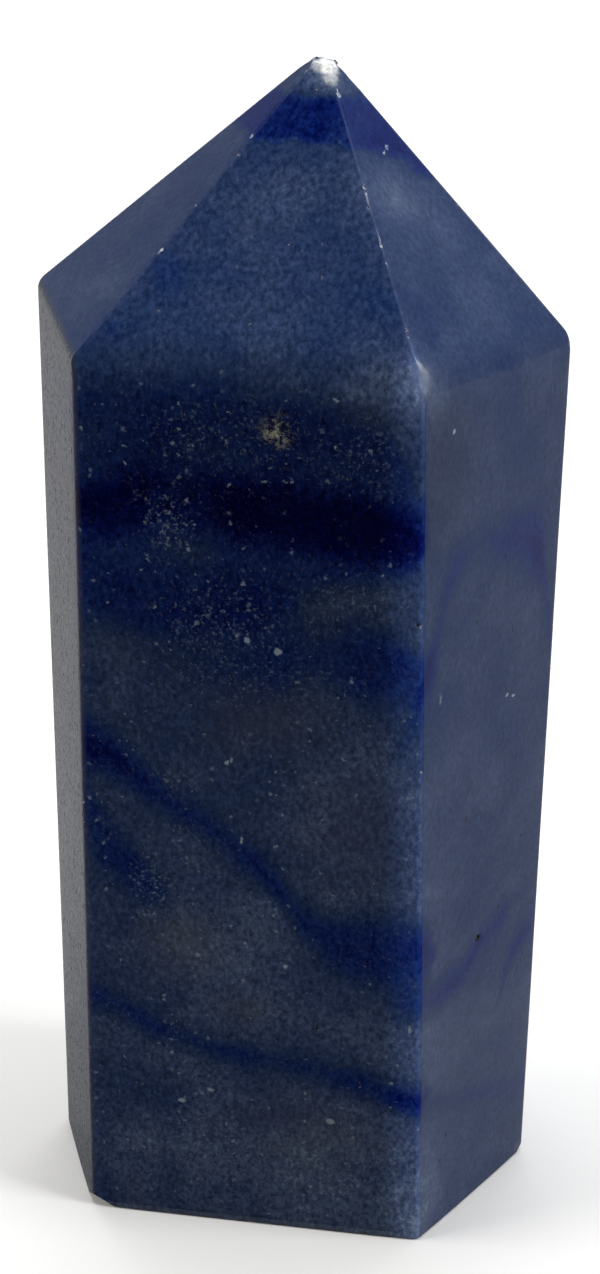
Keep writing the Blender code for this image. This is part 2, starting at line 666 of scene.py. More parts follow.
@dataclass(frozen=True)
class PaintedGlow:
    """Painted light: a broad side brightened next to a narrow one, as if lit through it, in millimetres."""

    heading: float  # degrees, of the narrow side
    lean: float  # degrees
    distance: float  # from the axis to that side, at the foot
    reach: float  # from that side, where the painted light is spent
    gain: float  # how much brighter the stone is painted at the edge


@dataclass(frozen=True)
class PolishedDumortierite:
    """Dumortierite quartz with a satin polish.

    Fine needles of blue dumortierite lie in colourless quartz. How much quartz shows sets the colour: none in the
    ultramarine veins, a little in the slate blue ground, more in the hazy patches, and nothing else in the pale
    grains. Every marking adds to that share or takes from it, and one ramp turns the share into a colour. Some
    markings paint light and shade instead: the broad sheet below the front shoulder is partly painted shade, the
    first two patches and the glow near the standing edges are painted light, the shade spots and the dark of the
    pits are painted shade, and the grey of the side polished least is a painted sheen.
    """

    tones: tuple[tuple[float, str], ...] = (
        (0.00, "#00023c"),
        (0.10, "#010d4c"),
        (0.20, "#0b1d58"),
        (0.30, "#15295e"),
        (0.40, "#1d2f58"),
        (0.50, "#27375a"),
        (0.62, "#354364"),
        (0.75, "#495773"),
        (0.88, "#717d90"),
        (1.00, "#b3babd"),
    )
    quartz: str = "#93a2b2"
    stain: str = "#4f4b4a"
    # Painted sheen: the grey that the side polished least is mixed with.
    painted_sheen_grey: str = "#46474a"
    # Painted shade: the dark of the pits and of the hole.
    pit_shade_tone: str = "#0a0d18"
    rust: str = "#9a9a8a"
    rust_shade: str = "#1d1f24"
    frost: str = "#f6f8f4"
    frost_shade: str = "#8b95a0"
    bruise_tone: str = "#8fa3d4"
    ior: float = 1.54
    roughness: tuple[float, float] = (0.12, 0.17)
    patch: float = 5.0  # mm, size of the free patches
    patch_depth: float = 0.45
    grain: float = 0.34  # mm
    grain_depth: float = 0.35  # of the share of quartz
    grain_light: float = 1.85  # of the brightness
    calm: float = 0.5  # share of the grain that shows on the narrow sides
    gravel: float = 0.28  # mm
    speck_cell: float = 0.46  # mm between places where a speck may be
    speck_size: tuple[float, float] = (0.05, 0.18)  # mm
    painted_glows: tuple[PaintedGlow, ...] = (
        PaintedGlow(-74.3, 0.6, 17.6, 0.9, 0.25),
        PaintedGlow(50.4, 0.9, 15.5, 2.9, 1.25),
        PaintedGlow(109.2, -0.1, 17.4, 1.8, 0.6),
        PaintedGlow(229.2, -0.1, 15.3, 1.8, 0.6),
    )
    pit_cell: float = 0.42  # mm between places where a pit may be
    pit_size: tuple[float, float] = (0.05, 0.12)  # mm
    hole: Spot = Spot((13.7, -7.1, 25.5), (0.5, 0.5, 0.5))
    coarse_heading: float = -74.3  # degrees, of the side that is polished least
    coarse_from: float = 17.2  # mm from the axis
    veins: tuple[Vein, ...] = (
        Vein(((-20, 86.3, 1.1), (0, 86.0, 1.15), (2.2, 86.0, 1.2), (8.5, 82.9, 1.3), (20, 79, 1.0)), 0.30, 0.35),
        # Partly painted shade: this broad sheet darkens the upper front side below the shoulder, where the stone also
        # has a dark band.
        Vein(
            (
                (-20, 62.5, 8.3), (-12.3, 62.5, 8.6), (-8.0, 62.5, 9.3), (-1.6, 62.5, 8.5), (3.0, 64.0, 6.9),
                (6.9, 63.8, 5.8), (8.6, 62.6, 3.8), (9.8, 62.0, 2.4), (10.8, 62.0, -2.0), (20, 62.0, -4.0),
            ),
            strength=0.22, soft=1.4,
        ),
        Vein(
            (
                (-20, 62.2, 1.4), (-12.8, 62.2, 1.6), (-9.6, 63.0, 2.2), (-6.2, 63.4, 2.2), (-2.9, 63.1, 2.2),
                (1.7, 62.6, 2.2), (4.4, 62.4, 2.4), (7.1, 61.9, 2.3), (9.2, 61.5, 1.4), (10.0, 61.5, -0.5),
                (10.8, 61.5, -2.0), (20, 61.5, -4.0),
            ),
            strength=0.30, soft=1.6,
        ),
        Vein(
            (
                (-20, 45.2, 1.8), (-13.6, 43.9, 1.7), (-12.0, 43.0, 1.6), (-10.2, 41.7, 1.4), (-8.1, 39.9, 1.2),
                (-5.3, 37.8, 1.1), (-3.1, 36.2, 1.1), (-1.7, 34.9, 1.2), (-0.2, 33.2, 1.2), (1.2, 31.1, 1.2),
                (2.7, 29.2, 1.6), (5.0, 28.2, 2.4), (7.9, 27.9, 3.0), (10.4, 27.5, 2.9), (11.4, 27.2, 1.6),
                (12.2, 27.0, -2.0), (20, 27.0, -4.0),
            ),
            strength=0.38, soft=2.0,
        ),
        Vein(
            (
                (-20, 23.0, 0.8), (-13.5, 21.1, 0.9), (-11.6, 20.5, 0.9), (-9.3, 18.9, 1.0), (-5.5, 17.7, 0.9),
                (-1.7, 16.8, 0.9), (2.1, 16.4, 0.9), (5.9, 15.3, 1.1), (9.7, 14.4, 1.2), (11.2, 14.2, 1.2),
                (12.2, 14.0, -2.0), (20, 14.0, -4.0),
            ),
            strength=0.38, soft=1.6,
        ),
        Vein(
            (
                (-20, 40.0, 1.8), (-13.6, 37.6, 2.3), (-12.6, 36.0, 2.5), (-11.2, 34.2, 2.3), (-9.0, 31.9, 1.4),
                (-7.6, 30.3, 0.2), (-6.5, 29.0, -1.5), (20, 29.0, -4.0),
            ),
            strength=0.30, soft=2.0,
        ),
        Vein(
            (
                (-8, 40.0, -1.0), (-5.4, 45.0, 0.4), (-4.1, 50.1, 1.4), (-3.1, 52.8, 1.9), (-2.3, 55.6, 1.8),
                (-1.6, 57.4, 1.6), (-0.7, 58.3, 1.3), (0.6, 59.0, 1.0), (2.3, 59.3, 0.9), (4.1, 58.4, 1.2),
                (5.9, 57.8, 1.6), (7.7, 57.0, 2.0), (9.1, 55.2, 2.2), (10.0, 52.4, 1.6), (10.6, 49.6, 0.6),
                (12.0, 46.0, -0.5),
            ),
            0.22, 2.2, 50.4, 12.5,
        ),
        Vein(
            (
                (-8, 24.0, 1.2), (-3.5, 22.9, 1.3), (-1.9, 22.7, 1.2), (0.0, 23.0, 1.0), (1.5, 23.3, 0.8),
                (2.4, 23.8, 0.8), (3.4, 24.7, 0.6), (4.9, 25.3, 0.7), (6.1, 25.8, 0.9), (7.1, 26.4, 0.5),
                (8.7, 26.6, -0.5), (14, 27.0, -2.0),
            ),
            0.33, 1.6, 50.4, 12.5,
        ),
        Vein(
            (
                (-8, 16.0, -3.0), (5.5, 17.0, -1.0), (6.6, 18.4, 0.3), (7.2, 19.8, 0.7), (8.0, 21.4, 0.7),
                (9.0, 22.2, 0.6), (10.3, 22.6, 0.3), (14, 23.4, -1.0),
            ),
            0.31, 1.6, 50.4, 12.5,
        ),
        Vein(
            ((-8, 14.4, 0.8), (-3.1, 13.3, 0.9), (0.5, 11.8, 0.9), (3.8, 10.2, 1.0), (7.2, 8.7, 1.0), (14, 6.0, 0.8)),
            0.17, 1.6, 50.4, 12.5,
        ),
    )
    patches: tuple[Spot, ...] = (
        # The first two are painted light: they lighten the lower front side, the more towards its foot.
        Spot((-1.0, -11.5, 22.0), (40.0, 5.0, 29.0), 0.12),
        Spot((-1.0, -11.0, 3.0), (24.0, 4.0, 13.0), 0.15),
        Spot((-3.0, -11.3, 54.5), (14.0, 3.0, 6.5), -0.11),
        Spot((-3.0, -11.3, 51.5), (13.0, 3.0, 4.5), -0.09),
        Spot((5.4, -12.4, 51.4), (5.5, 3.0, 4.0), -0.22),
        Spot((3.2, -12.2, 57.0), (4.5, 3.0, 2.2), 0.14),
        Spot((3.5, -12.0, 41.0), (8.5, 4.0, 8.0), 0.10),
        Spot((-6.0, -10.6, 27.0), (8.0, 4.0, 7.5), 0.10),
        Spot((-12.6, -9.6, 49.5), (2.5, 3.0, 5.5), 0.12),
        Spot((-7.5, -10.8, 61.5), (3.4, 3.0, 5.5), 0.16),
        Spot((7.2, -12.3, 71.6), (6.5, 3.5, 4.4), 0.19),
        Spot((9.0, -3.0, 78.0), (9.0, 6.0, 9.0), 0.07),
        Spot((-13.4, -9.2, 5.5), (4.5, 3.0, 8.0), 0.19),
        Spot((9.6, -12.0, 5.0), (4.0, 3.0, 8.0), 0.12),
        Spot((15.2, -4.2, 66.5), (4.0, 4.0, 6.0), -0.09),
        Spot((17.5, -2.9, 55.8), (3.0, 3.0, 3.6), -0.08),
        Spot((10.8, -10.6, 23.5), (3.5, 3.0, 4.0), -0.12),
        Spot((5.8, -3.2, 81.2), (3.0, 3.0, 3.6), 0.13),
        Spot((-8.2, -6.4, 78.0), (3.6, 3.0, 3.0), -0.08),
        Spot((-12.0, -8.5, 74.6), (2.4, 2.0, 2.0), -0.05),
        Spot((-0.3, -3.6, 82.3), (3.4, 3.0, 2.6), 0.07),
        Spot((1.3, 1.1, 88.4), (2.6, 2.8, 1.7), 0.28),
    )
    # Painted shade: spots that darken the upper front side, below the shoulder.
    painted_shade_spots: tuple[Spot, ...] = (
        Spot((-1.5, -11.5, 66.0), (24.0, 5.0, 10.0), 0.30),
        Spot((-3.0, -11.0, 55.0), (16.0, 4.0, 9.0), 0.18),
    )
    crowds: tuple[Spot, ...] = (
        Spot((-8.6, -10.6, 61.5), (2.4, 3.0, 4.6)),
        Spot((-4.5, -11.2, 68.4), (9.0, 3.0, 3.2), 0.6),
        Spot((4.0, -12.2, 67.3), (5.0, 3.0, 3.2), 0.5),
        Spot((-5.0, -10.9, 54.5), (6.5, 3.0, 4.5), 0.7),
        Spot((-3.0, -11.2, 50.0), (10.0, 3.0, 3.5), 0.5),
        Spot((-10.5, -10.0, 31.5), (3.0, 3.0, 5.0), 0.8),
        Spot((-5.8, -10.8, 27.0), (2.6, 3.0, 4.0), 0.5),
        Spot((3.4, -12.2, 57.0), (4.0, 3.0, 2.4), 0.5),
        Spot((4.0, -12.0, 6.0), (6.5, 3.0, 5.0), 0.55),
        Spot((-7.0, -10.6, 7.5), (7.0, 3.0, 5.5), 0.6),
    )
    grains: tuple[Spot, ...] = (
        Spot((-3.5, -11.2, 53.1), (0.28, 0.5, 0.32)),
        Spot((-1.4, -11.5, 52.4), (0.38, 0.5, 0.36)),
        Spot((-4.9, -10.8, 43.1), (0.22, 0.4, 0.26)),
        Spot((-3.9, -10.9, 36.6), (0.12, 0.3, 0.45)),
        Spot((-0.7, -11.2, 25.7), (0.24, 0.4, 0.26)),
        Spot((8.5, -12.4, 20.9), (0.16, 0.3, 0.50)),
        Spot((-8.6, -9.9, 11.9), (0.42, 0.5, 0.30)),
        Spot((2.8, -11.5, 11.3), (0.40, 0.5, 0.36)),
        Spot((5.3, -0.6, 83.9), (0.16, 0.4, 0.24)),
        Spot((5.5, -0.1, 84.1), (0.16, 0.4, 0.24)),
        Spot((-3.5, -11.8, 72.2), (0.22, 0.4, 0.18)),
        Spot((9.9, -10.6, 72.2), (0.20, 0.4, 0.24)),
        Spot((11.0, -9.2, 72.1), (0.14, 0.4, 0.16)),
        Spot((15.0, -5.0, 45.4), (0.20, 0.4, 0.20)),
        Spot((15.5, -4.4, 45.0), (0.20, 0.4, 0.16)),
        Spot((10.0, -10.5, 68.4), (0.16, 0.4, 0.22)),
        Spot((6.8, -10.9, 74.9), (0.14, 0.2, 0.16), 0.7),
        Spot((7.1, -11.8, 73.9), (0.16, 0.2, 0.20), 0.8),
        Spot((7.3, -12.1, 73.5), (0.14, 0.2, 0.16), 0.7),
        Spot((7.3, -12.9, 71.2), (0.20, 0.3, 0.20), 0.6),
        Spot((9.8, -11.2, 48.6), (0.14, 0.4, 0.60), 0.35),
        Spot((-6.3, -10.2, 13.2), (0.30, 0.4, 0.20), 0.6),
        Spot((-4.6, -10.9, 43.3), (0.14, 0.3, 0.24), 0.8),
        Spot((-7.2, -10.2, 26.0), (0.20, 0.3, 0.26), 0.6),
    )
    stains: tuple[Spot, ...] = (
        Spot((-8.5, -10.2, 27.0), (5.0, 3.0, 4.5), 0.30),
        Spot((-4.0, -10.8, 21.4), (3.0, 3.0, 2.6), 0.30),
        Spot((-2.0, -11.2, 46.5), (8.0, 3.0, 4.0), 0.22),
        Spot((4.5, -12.0, 38.0), (6.0, 3.0, 8.0), 0.15),
        Spot((1.0, -11.2, 10.0), (10.0, 3.0, 6.0), 0.20),
    )
    bald: tuple[Spot, ...] = (Spot((2.5, -12.2, 62.4), (9.5, 3.0, 3.4), 0.85), Spot((-12.5, -9.8, 62.5), (3.0, 3.0, 3.0), 0.8))
    inclusion: Spot = Spot((-1.6, -11.7, 68.8), (1.5, 1.0, 1.7))
    worn_corner: Spot = Spot((7.7, -12.4, 72.9), (1.8, 1.8, 2.0))
    crushed: tuple[Spot, ...] = (Spot((1.6, 1.7, 89.2), (1.25, 1.5, 1.15)), Spot((1.7, 1.1, 88.4), (0.8, 0.8, 0.9), 0.45))

    def material(self) -> bpy.types.Material:
        """Makes the material.

        Returns:
            The material.
        """
        made = bpy.data.materials.new("dumortierite_quartz_polished")
        made.use_nodes = True
        tree = made.node_tree
        node = partial(add_node, tree)
        place = node("TexCoord").outputs["Object"]
        mm = node("VectorMath", {0: place, "Scale": 1 / MM}, operation="SCALE")
        share, *grain = self.share(tree, mm)
        pits = self.pits(tree, mm)
        colour, matt = self.colour(tree, mm, share, grain, pits)
        shader = tree.nodes["Principled BSDF"]
        shader.inputs["IOR"].default_value = self.ior
        tree.links.new(colour, shader.inputs["Base Color"])
        lap = node("TexNoise", {"Vector": mm, "Scale": 1 / 2.5, "Detail": 4.0})
        gloss = node("MapRange", [lap, 0.35, 0.65, *self.roughness])
        lap = node("TexNoise", {"Vector": mm, "Scale": 1 / 0.3, "Detail": 4.0, "Roughness": 0.7})
        worn = node("MapRange", [lap, 0.42, 0.66, 0.0, 0.5])
        uneven = node("Math", [worn, self.coarse(tree, mm)], operation="MULTIPLY")
        dull = node("Math", [node("Math", [matt, pits], operation="MAXIMUM"), uneven], operation="MAXIMUM")
        rough = node("Mix", {"Factor": dull, "A": gloss, "B": 0.6})
        tree.links.new(rough.outputs[0], shader.inputs["Roughness"])
        tree.links.new(self.relief(tree, mm, pits), shader.inputs["Normal"])
        return made

    def shaken(
        self, tree: bpy.types.NodeTree, place: bpy.types.Node, size: float, reach: float
    ) -> bpy.types.Node:
        """Shakes the place that a marking is drawn by, so that its borders wander or fray.

        Args:
            tree: The node tree.
            place: The place, in millimetres.
            size: Size of the bends, in millimetres.
            reach: How far they go to either side, in millimetres.

        Returns:
            The shaken place.
        """
        node = partial(add_node, tree)
        noise = node("TexNoise", {"Vector": place, "Scale": 1 / size, "Detail": 2.0})
        push = node("VectorMath", [noise.outputs["Color"], (0.5, 0.5, 0.5)], operation="SUBTRACT")
        far = node("VectorMath", {0: push, "Scale": 4 * reach}, operation="SCALE")
        return node("VectorMath", [place, far], operation="ADD")

    def vein(self, tree: bpy.types.NodeTree, place: bpy.types.Node, vein: Vein) -> bpy.types.Node:
        """Draws one vein.

        Args:
            tree: The node tree.
            place: The place to draw it by, in millimetres.
            vein: The vein.

        Returns:
            Its mask.
        """
        node = partial(add_node, tree)
        way = node("VectorMath", [place, facing(vein.heading + 90.0, 0.0)], operation="DOT_PRODUCT")
        first, last = vein.route[0][0], vein.route[-1][0]
        along = node("MapRange", [way.outputs["Value"], first, last])
        curves: list[bpy.types.Node] = []
        for column in (1, 2):
            low = min(row[column] for row in vein.route) - 1.0
            high = max(row[column] for row in vein.route) + 1.0
            curve = node("FloatCurve", {1: along})
            line = curve.mapping.curves[0]
            shares = [((row[0] - first) / (last - first), (row[column] - low) / (high - low)) for row in vein.route]
            line.points[0].location, line.points[1].location = shares[0], shares[-1]
            for share in shares[1:-1]:
                line.points.new(*share)
            curve.mapping.update()
            curves.append(node("MapRange", [curve, 0.0, 1.0, low, high]))
        height = node("SeparateXYZ", [place]).outputs["Z"]
        off = node("Math", [height, curves[0]], operation="SUBTRACT")
        away = node("Math", [off], operation="ABSOLUTE")
        beyond = node("Math", [away, curves[1]], operation="SUBTRACT")
        sheet = node("MapRange", [beyond, vein.soft, -vein.soft, 0.0, 1.0], interpolation_type="SMOOTHSTEP")
        if vein.inner < 0.0:
            return sheet
        out = node("VectorMath", [place, facing(vein.heading, 0.0)], operation="DOT_PRODUCT").outputs["Value"]
        near = node("MapRange", [out, vein.inner, vein.inner + 1.5, 0.0, 1.0], interpolation_type="SMOOTHSTEP")
        return node("Math", [sheet, near], operation="MULTIPLY")

    def spot(self, tree: bpy.types.NodeTree, place: bpy.types.Node, spot: Spot, inner: float) -> bpy.types.Node:
        """Draws one soft spot.

        Args:
            tree: The node tree.
            place: The place to draw it by, in millimetres.
            spot: The spot.
            inner: Share of its reach within which it is full.

        Returns:
            A mask that is one in the spot.
        """
        node = partial(add_node, tree)
        shift = node("VectorMath", [place, spot.place], operation="SUBTRACT")
        scaled = node("VectorMath", [shift, spot.reach], operation="DIVIDE")
        far = node("VectorMath", [scaled], operation="LENGTH").outputs["Value"]
        return node("MapRange", [far, inner, 1.0, 1.0, 0.0], interpolation_type="SMOOTHSTEP")

    def spots(
        self, tree: bpy.types.NodeTree, place: bpy.types.Node, spots: Sequence[Spot], inner: float
    ) -> bpy.types.Node:
        """Draws several soft spots, and gives one mask for all of them."""
        masks = [
            add_node(tree, "Math", [self.spot(tree, place, spot, inner), spot.change], operation="MULTIPLY")
            for spot in spots
        ]
        return reduce(lambda one, two: add_node(tree, "Math", [one, two], operation="MAXIMUM"), masks)

    def specks(
        self, tree: bpy.types.NodeTree, mm: bpy.types.Node, crowd: bpy.types.Node
    ) -> bpy.types.Node:
        """Strews grains of bare quartz, thickest where they crowd, each of its own size and clearness.

        Args:
            tree: The node tree.
            mm: The place on the stone, in millimetres.
            crowd: How crowded they are.

        Returns:
            A mask of the grains.
        """
        node = partial(add_node, tree)
        torn = self.shaken(tree, mm, 0.25, 0.12)
        cells = node("TexVoronoi", {"Vector": torn, "Scale": 1 / self.speck_cell})
        chance = node("SeparateXYZ", [cells.outputs["Color"]])
        limit = node("MapRange", [crowd, 0.0, 1.0, 0.80, 0.42])
        kept = node("Math", [chance, limit], operation="GREATER_THAN")
        small, large = (size / self.speck_cell for size in self.speck_size)
        size = node("Math", [chance.outputs["Y"], 2.0], operation="POWER")
        radius = node("MapRange", [size, 0.0, 1.0, small, large])
        near = node("Math", [cells.outputs["Distance"], radius], operation="DIVIDE")
        dot = node("MapRange", [near, 0.5, 1.3, 1.0, 0.0], interpolation_type="SMOOTHSTEP")
        clear = node("MapRange", [chance.outputs["Z"], 0.0, 1.0, 0.1, 0.62])
        each = node("Math", [dot, clear], operation="MULTIPLY")
        return node("Math", [each, kept], operation="MULTIPLY")

    def share(self, tree: bpy.types.NodeTree, mm: bpy.types.Node) -> tuple[bpy.types.Node, ...]:
        """Works out how much quartz shows.

        Args:
            tree: The node tree.
            mm: The place on the stone, in millimetres.

        Returns:
            The share of quartz, how bright the grain is, a mask of the fine grains and one of the large grains.
        """
        node = partial(add_node, tree)
        bent = self.shaken(tree, mm, 5.0, 0.7)
        frayed = self.shaken(tree, mm, 1.1, 0.22)
        broad = node("Attribute", attribute_name=BROAD).outputs["Fac"]
        calm = node("MapRange", [broad, 0.0, 1.0, self.calm, 1.0])

        long = node("Mapping", {"Vector": mm, "Scale": (1.0, 1.0, 0.7)})
        fine = node("TexNoise", {"Vector": long, "Scale": 1 / self.grain, "Detail": 3.0, "Roughness": 0.65})
        offset = node("Math", [fine, 0.5], operation="SUBTRACT")
        patches = node("TexNoise", {"Vector": bent, "Scale": 1 / self.patch, "Detail": 4.0, "Roughness": 0.55})
        half = 0.5 * self.patch_depth
        share = node("MapRange", [patches, 0.0, 1.0, 0.5 - half, 0.5 + half])
        grain = node("Math", [offset, calm], operation="MULTIPLY")
        bright = node("Math", [grain, self.grain_light, 1.0], operation="MULTIPLY_ADD")
        share = node("Math", [grain, self.grain_depth, share], operation="MULTIPLY_ADD")
        for spot in self.patches:
            share = node("Math", [self.spot(tree, bent, spot, 0.15), spot.change, share], operation="MULTIPLY_ADD")
        for vein in self.veins:
            share = node("Math", [self.vein(tree, frayed, vein), -vein.strength, share], operation="MULTIPLY_ADD")

        free = node("MapRange", [patches, 0.5, 0.75, 0.0, 0.5])
        crowd = node("Math", [free, self.spots(tree, bent, self.crowds, 0.2)], operation="MAXIMUM")
        sharp = node("TexNoise", {"Vector": mm, "Scale": 1 / self.gravel, "Detail": 3.0, "Roughness": 0.7})
        grit = node("MapRange", [sharp, 0.55, 0.72, 0.0, 0.65])
        gravel = node("Math", [grit, node("MapRange", [crowd, 0.0, 1.0, 0.12, 1.0])], operation="MULTIPLY")
        specks = node("Math", [self.specks(tree, mm, crowd), gravel], operation="ADD")
        below = node("MapRange", [node("SeparateXYZ", [mm]).outputs["Z"], 71.0, 73.5, 1.0, 0.12])
        kept = node("Math", [1.0, self.spots(tree, bent, self.bald, 0.4)], operation="SUBTRACT")
        dust = reduce(lambda one, two: node("Math", [one, two], operation="MULTIPLY"), (specks, broad, below, kept))
        bare = self.spots(tree, self.shaken(tree, mm, 0.3, 0.08), self.grains, 0.45)
        return share, bright, dust, bare

    def colour(
        self,
        tree: bpy.types.NodeTree,
        mm: bpy.types.Node,
        share: bpy.types.Node,
        grain: Sequence[bpy.types.Node],
        pits: bpy.types.Node,
    ) -> tuple[bpy.types.NodeSocket, bpy.types.Node]:
        """Turns the share of quartz into a colour, and adds what is rusty or crushed, and painted light, shade and
        sheen.

        Args:
            tree: The node tree.
            mm: The place on the stone, in millimetres.
            share: The share of quartz.
            grain: How bright the grain is, a mask of the fine grains and one of the large grains.
            pits: A mask of the pits.

        Returns:
            The colour, and a mask of what is not polished.
        """
        node = partial(add_node, tree)
        ramp = node("ValToRGB", [share])
        stops = ramp.color_ramp.elements
        stops[0].position, stops[1].position = self.tones[0][0], self.tones[-1][0]
        for place, _ in self.tones[1:-1]:
            stops.new(place)
        for stop, (_, code) in zip(stops, self.tones, strict=True):
            stop.color = linear(code)

        # Painted light: the broad sides are brightened near their standing edges.
        painted_glow = self.painted_glow(tree, mm)
        # Painted shade: the upper front side is darkened by the shade spots.
        painted_shade_mask = self.spots(tree, mm, self.painted_shade_spots, 0.3)
        painted_shade_factor = node("Math", [1.0, painted_shade_mask], operation="SUBTRACT")
        bright, *masks = grain
        gain = node("Math", [node("Math", [painted_glow, painted_shade_factor], operation="MULTIPLY"), bright], operation="MULTIPLY")
        colour = node("VectorMath", {0: ramp, "Scale": gain}, operation="SCALE")
        for mask, most in zip(masks, (1.0, 0.85), strict=True):
            factor = node("Math", [mask, most], operation="MULTIPLY")
            colour = node("Mix", {"Factor": factor, "A": colour, "B": linear(self.quartz)}, data_type="RGBA")

        warm = self.spots(tree, self.shaken(tree, mm, 4.0, 0.8), self.stains, 0.1)
        colour = node("Mix", {"Factor": warm, "A": colour, "B": linear(self.stain)}, data_type="RGBA")
        # Painted sheen: the side polished least is greyed, for the grazing reflection that it shows.
        painted_sheen = node("Math", [self.coarse(tree, mm), 0.55], operation="MULTIPLY")
        colour = node("Mix", {"Factor": painted_sheen, "A": colour, "B": linear(self.painted_sheen_grey)}, data_type="RGBA")

        torn = self.shaken(tree, mm, 0.5, 0.2)
        chaff = node("TexNoise", {"Vector": torn, "Scale": 1 / 0.45, "Detail": 3.0, "Roughness": 0.7})
        around = self.spot(tree, torn, self.inclusion, 0.1)
        shady = node("Math", [around, 0.6], operation="MULTIPLY")
        colour = node("Mix", {"Factor": shady, "A": colour, "B": linear(self.rust_shade)}, data_type="RGBA")
        streaks = node("MapRange", [chaff, 0.49, 0.60, 0.0, 1.0])
        rusty = node("Math", [around, streaks], operation="MULTIPLY")
        colour = node("Mix", {"Factor": rusty, "A": colour, "B": linear(self.rust)}, data_type="RGBA")

        ridge = node("Attribute", attribute_name=BRUISE).outputs["Fac"]
        worn = node("MapRange", [chaff, 0.44, 0.62, 0.26, 0.55])
        line = node("Math", [ridge, worn], operation="MULTIPLY")
        colour = node("Mix", {"Factor": line, "A": colour, "B": linear(self.bruise_tone)}, data_type="RGBA")
        frosted = self.spots(tree, torn, self.crushed, 0.3)
        lit = node("MapRange", [chaff, 0.30, 0.52, 0.3, 1.0])
        pair = {"Factor": lit, "A": linear(self.frost_shade), "B": linear(self.frost)}
        colour = node("Mix", {"Factor": frosted, "A": colour, "B": node("Mix", pair, data_type="RGBA")}, data_type="RGBA")
        # Painted shade: the pits and the hole are darkened.
        deep = node("Math", [pits, 0.85], operation="MULTIPLY")
        colour = node("Mix", {"Factor": deep, "A": colour, "B": linear(self.pit_shade_tone)}, data_type="RGBA")
        matt = node("Math", [masks[1], node("Math", [frosted, line], operation="MAXIMUM")], operation="MAXIMUM")
        matt = node("Math", [matt, self.spot(tree, mm, self.worn_corner, 0.1)], operation="MAXIMUM")
        return colour.outputs[2], matt

    def painted_glow(self, tree: bpy.types.NodeTree, mm: bpy.types.Node) -> bpy.types.Node:
        """Works out the painted light: how much brighter the broad sides are made near their standing edges.

        Args:
            tree: The node tree.
            mm: The place on the stone, in millimetres.

        Returns:
            The gain, one where no light is painted.
        """
        node = partial(add_node, tree)
        total: float | bpy.types.Node = 0.0
        for painted_glow in self.painted_glows:
            toward = facing(painted_glow.heading, painted_glow.lean)
            out = node("VectorMath", [mm, toward], operation="DOT_PRODUCT").outputs["Value"]
            edge = painted_glow.distance * math.cos(math.radians(painted_glow.lean))
            near = node(
                "MapRange", [out, edge - painted_glow.reach, edge - 0.15 * painted_glow.reach], interpolation_type="SMOOTHSTEP"
            )
            total = node("Math", [near, painted_glow.gain, total], operation="MULTIPLY_ADD")
        broad = node("Attribute", attribute_name=BROAD).outputs["Fac"]
        reached = node("MapRange", [broad, 0.0, 0.2])
        return node("Math", [total, reached, 1.0], operation="MULTIPLY_ADD")

    def coarse(self, tree: bpy.types.NodeTree, mm: bpy.types.Node) -> bpy.types.Node:
        """Masks the side that is polished least."""
        node = partial(add_node, tree)
        out = node("VectorMath", [mm, facing(self.coarse_heading, 0.6)], operation="DOT_PRODUCT").outputs["Value"]
        return node("MapRange", [out, self.coarse_from, self.coarse_from + 0.3])

    def pits(self, tree: bpy.types.NodeTree, mm: bpy.types.Node) -> bpy.types.Node:
        """Strews pits that the polish left open, upright and few, but many on the coarse side.

        Args:
            tree: The node tree.
            mm: The place on the stone, in millimetres.

        Returns:
            A mask of the pits.
        """
        node = partial(add_node, tree)
        long = node("Mapping", {"Vector": self.shaken(tree, mm, 0.3, 0.1), "Scale": (1.0, 1.0, 0.45)})
        cells = node("TexVoronoi", {"Vector": long, "Scale": 1 / self.pit_cell})
        chance = node("SeparateXYZ", [cells.outputs["Color"]])
        limit = node("MapRange", [self.coarse(tree, mm), 0.0, 1.0, 0.97, 0.35])
        kept = node("Math", [chance, limit], operation="GREATER_THAN")
        small, large = (size / self.pit_cell for size in self.pit_size)
        radius = node("MapRange", [chance.outputs["Y"], 0.0, 1.0, small, large])
        near = node("Math", [cells.outputs["Distance"], radius], operation="DIVIDE")
        hole = node("MapRange", [near, 0.5, 1.2, 1.0, 0.0])
        open_pits = node("Math", [hole, kept], operation="MULTIPLY")
        return node("Math", [open_pits, self.spot(tree, mm, self.hole, 0.5)], operation="MAXIMUM")

    def relief(self, tree: bpy.types.NodeTree, mm: bpy.types.Node, pits: bpy.types.Node) -> bpy.types.NodeSocket:
        """Makes the fine relief: the open pits, and an upright grain that the lap left.

        Args:
            tree: The node tree.
            mm: The place on the stone, in millimetres.
            pits: A mask of the pits.

        Returns:
            The normal.
        """
        node = partial(add_node, tree)
        deep = node("Math", [pits, -0.03 * MM], operation="MULTIPLY")
        long = node("Mapping", {"Vector": mm, "Scale": (1.0, 1.0, 0.35)})
        fine = node("TexNoise", {"Vector": long, "Scale": 1 / 0.35, "Detail": 3.0})
        rise = node("MapRange", [fine, 0.3, 0.7])
        rough = node("MapRange", [self.coarse(tree, mm), 0.0, 1.0, 0.004 * MM, 0.018 * MM])
        height = node("Math", [rise, rough, deep], operation="MULTIPLY_ADD")
        return node("Bump", {"Strength": 1.0, "Distance": 1.0, "Height": height}).outputs["Normal"]


